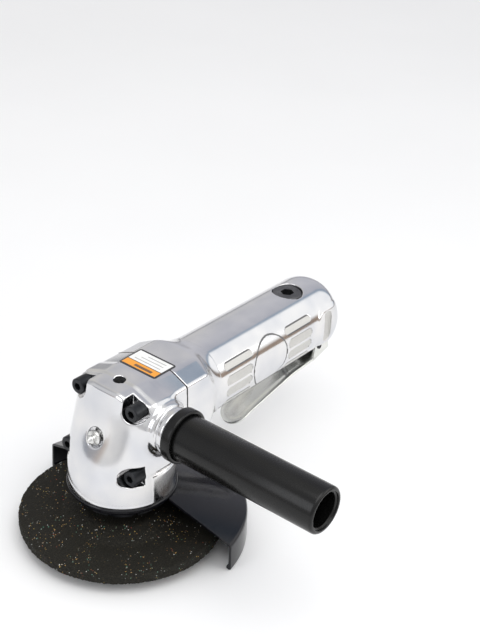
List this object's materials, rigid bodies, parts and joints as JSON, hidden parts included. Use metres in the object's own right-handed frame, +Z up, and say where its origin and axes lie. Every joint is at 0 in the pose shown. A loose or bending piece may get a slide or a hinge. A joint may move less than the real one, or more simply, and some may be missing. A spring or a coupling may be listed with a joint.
{
  "type": "pneumatic angle grinder",
  "caption": "Air-driven right-angle grinder with a cast body, bevel drive, depressed-centre wheel, swivelling guard, side handle and throttle lever.",
  "frame": {"origin": "centre of the spindle's free lower end", "axes": "+Z up along the spindle away from the wheel, +X along the motor housing towards the air inlet, side handle towards -Y"},
  "size_m": [0.2378, 0.2018, 0.0993],
  "materials": {
    "cast_aluminium": "polished die-cast",
    "black_oxide": "satin black oxide",
    "black_enamel": "gloss black enamel",
    "handle_black": "satin black",
    "bright_steel": "bright zinc",
    "machined_steel": "ground",
    "lever_steel": "brushed nickel",
    "regulator_steel": "dark satin",
    "abrasive": "coarse resin-bonded grain",
    "gasket_paper": "matt",
    "seal_rubber": "matt",
    "label_print": "laminated",
    "blade_composite": "phenolic",
    "sintered_bronze": "porous"
  },
  "bodies": {
    "housing": {"gear_housing": "cast_aluminium", "housing_gasket": "gasket_paper", "motor_housing": "cast_aluminium", "housing_screws": "black_oxide", "screw_washers": "black_oxide", "grease_nipple": "bright_steel", "label_plate": "label_print", "handle_tube": "handle_black", "handle_collar": "handle_black", "handle_stud": "machined_steel", "flange_plate": "black_enamel", "bearing_cap": "black_oxide", "spindle_seal": "gasket_paper", "needle_bearing": "machined_steel", "cylinder_liner": "machined_steel", "cylinder_pin": "machined_steel", "front_end_plate": "machined_steel", "rear_end_plate": "machined_steel", "exhaust_muffler": "sintered_bronze", "inlet_bush": "black_oxide", "inlet_screen": "bright_steel", "inlet_seal_ring": "seal_rubber", "valve_seat": "machined_steel", "lever_pin": "black_oxide", "spindle_bearing_outer": "machined_steel", "spindle_bearing_balls": "machined_steel", "rotor_front_bearing_outer": "machined_steel", "rotor_front_bearing_balls": "machined_steel", "rotor_rear_bearing_outer": "machined_steel", "rotor_rear_bearing_balls": "machined_steel"},
    "spindle_group": {"spindle": "machined_steel", "bevel_gear": "machined_steel", "gear_key": "machined_steel", "inner_flange": "black_oxide", "grinding_wheel": "abrasive", "wheel_bush": "bright_steel", "lock_nut": "black_oxide", "spindle_bearing_inner": "machined_steel"},
    "rotor_group": {"rotor": "machined_steel", "rotor_blades": "blade_composite", "pinion": "machined_steel", "rotor_front_bearing_inner": "machined_steel", "rotor_rear_bearing_inner": "machined_steel"},
    "guard_group": {"wheel_guard": "black_enamel", "guard_screw": "black_oxide"},
    "lever_group": {"throttle_lever": "lever_steel"},
    "valve_group": {"valve_pin": "machined_steel", "valve_spring": "machined_steel"},
    "regulator_group": {"regulator": "regulator_steel", "regulator_seal_ring": "seal_rubber"}
  },
  "joints": [
    {"name": "spindle_spin", "type": "hinge", "parent": "housing", "child": "spindle_group", "pos_m": [0, 0, 0.0699], "axis": [0, 0, 1], "continuous": true},
    {"name": "rotor_spin", "type": "hinge", "parent": "housing", "child": "rotor_group", "pos_m": [0.06, 0, 0.0699], "axis": [1, 0, 0], "continuous": true},
    {"name": "guard_turn", "type": "hinge", "parent": "housing", "child": "guard_group", "pos_m": [0, 0, 0.0275], "axis": [0, 0, 1], "range_deg": [-90, 90]},
    {"name": "lever_press", "type": "hinge", "parent": "housing", "child": "lever_group", "pos_m": [0.1624, 0, 0.05075], "axis": [0, 1, 0], "range_deg": [0, 14], "stiffness_Nm_per_rad": 0.4, "springref_deg": -8.59},
    {"name": "valve_lift", "type": "slide", "parent": "housing", "child": "valve_group", "axis": [0, 0, 1], "range_m": [0, 0.00496], "deforming": ["valve_spring"]},
    {"name": "regulator_turn", "type": "hinge", "parent": "housing", "child": "regulator_group", "pos_m": [0.1433, 0, 0.0855], "axis": [0, 0, 1], "range_deg": [0, 90]}
  ],
  "couplings": [
    {"joint": "rotor_spin", "follows": "spindle_spin", "ratio": 2.6923},
    {"joint": "valve_lift", "follows": "lever_press", "m_per_rad": 0.0203}
  ]
}
